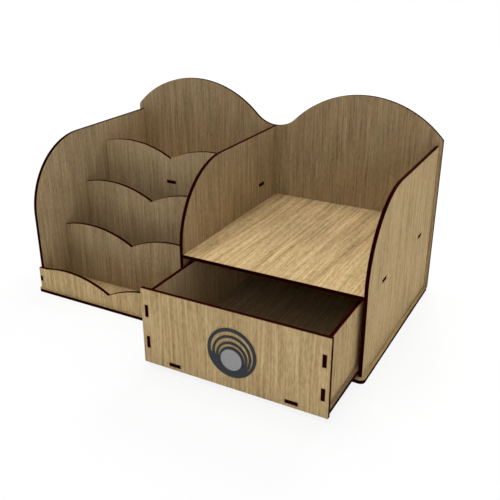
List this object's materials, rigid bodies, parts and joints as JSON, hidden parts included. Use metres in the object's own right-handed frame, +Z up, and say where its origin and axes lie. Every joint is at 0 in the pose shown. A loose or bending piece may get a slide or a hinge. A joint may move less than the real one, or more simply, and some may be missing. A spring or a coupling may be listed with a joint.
{
  "type": "makeup stand",
  "caption": "Tabbed plywood makeup stand with stepped scalloped rows, a walled shelf over a sliding drawer with a round metal pull, and a double-arched back.",
  "frame": {"origin": "under the middle of the stand's footprint without its drawer, on the surface that it stands on", "axes": "+X to the right as seen from the front, +Y to the back, +Z up; the drawer slides out along -Y"},
  "size_m": [0.32, 0.2309, 0.1752],
  "materials": {
    "plywood": "satin plywood with dark burnt edges",
    "dark_metal": "dark slate, satin",
    "knob_metal": "satin grey",
    "screw_steel": "plain"
  },
  "bodies": {
    "case": {"base_panel": "plywood", "back_panel": "plywood", "left_side": "plywood", "centre_wall": "plywood", "right_side": "plywood", "front_lip": "plywood", "low_divider": "plywood", "mid_divider": "plywood", "tall_divider": "plywood", "raised_floor": "plywood", "shelf": "plywood"},
    "drawer": {"drawer_front": "plywood", "drawer_left": "plywood", "drawer_right": "plywood", "drawer_back": "plywood", "drawer_bottom": "plywood", "pull_plate": "dark_metal", "pull_knob": "knob_metal", "pull_screw": "screw_steel"}
  },
  "joints": [
    {"name": "drawer_slide", "type": "slide", "parent": "case", "child": "drawer", "axis": [0, -1, 0], "range_m": [-0.058, 0.052]}
  ]
}
